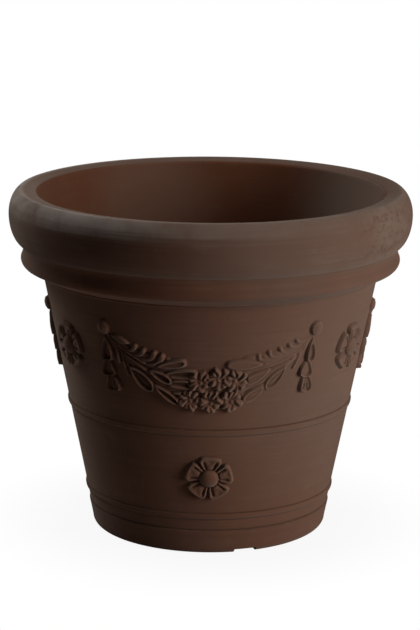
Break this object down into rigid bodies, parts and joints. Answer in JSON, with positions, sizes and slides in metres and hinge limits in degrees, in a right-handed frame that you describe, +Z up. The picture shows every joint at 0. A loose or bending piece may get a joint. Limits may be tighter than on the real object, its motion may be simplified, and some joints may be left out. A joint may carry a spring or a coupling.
{
  "type": "festoon planter",
  "caption": "Round flared floor pot with a rolled rim and collar, beads round the wall, and applied leaf garlands, husk drops and rosettes over a foot ring with drain notches.",
  "frame": {"origin": "on the ground, on the pot's axis", "axes": "+Z up along the pot's axis, -Y towards the front festoon, +X to its right"},
  "size_m": [0.5114, 0.5114, 0.438],
  "materials": {
    "clay": "matt dark brown fired clay with a pale bloom",
    "rim_clay": "matt brown fired clay, scuffed and greyed by weather",
    "inner_clay": "matt brown fired clay"
  },
  "bodies": {
    "root": {"floor_slab": "inner_clay", "foot_ring": "clay", "wall": "clay", "lower_bead": "clay", "upper_bead": "clay", "collar": "clay", "rim_roll": "rim_clay", "knob_left_front": "clay", "knob_right_front": "clay", "drop_left_front": "clay", "drop_right_front": "clay", "garland_left_front": "clay", "garland_right_front": "clay", "blossoms_front": "clay", "lower_rosette_front": "clay", "knob_left_east": "clay", "knob_right_east": "clay", "drop_left_east": "clay", "drop_right_east": "clay", "garland_left_east": "clay", "garland_right_east": "clay", "blossoms_east": "clay", "lower_rosette_east": "clay", "knob_left_west": "clay", "knob_right_west": "clay", "drop_left_west": "clay", "drop_right_west": "clay", "garland_left_west": "clay", "garland_right_west": "clay", "blossoms_west": "clay", "lower_rosette_west": "clay", "upper_rosette_right": "clay", "upper_rosette_back": "clay", "upper_rosette_left": "clay"}
  },
  "joints": []
}
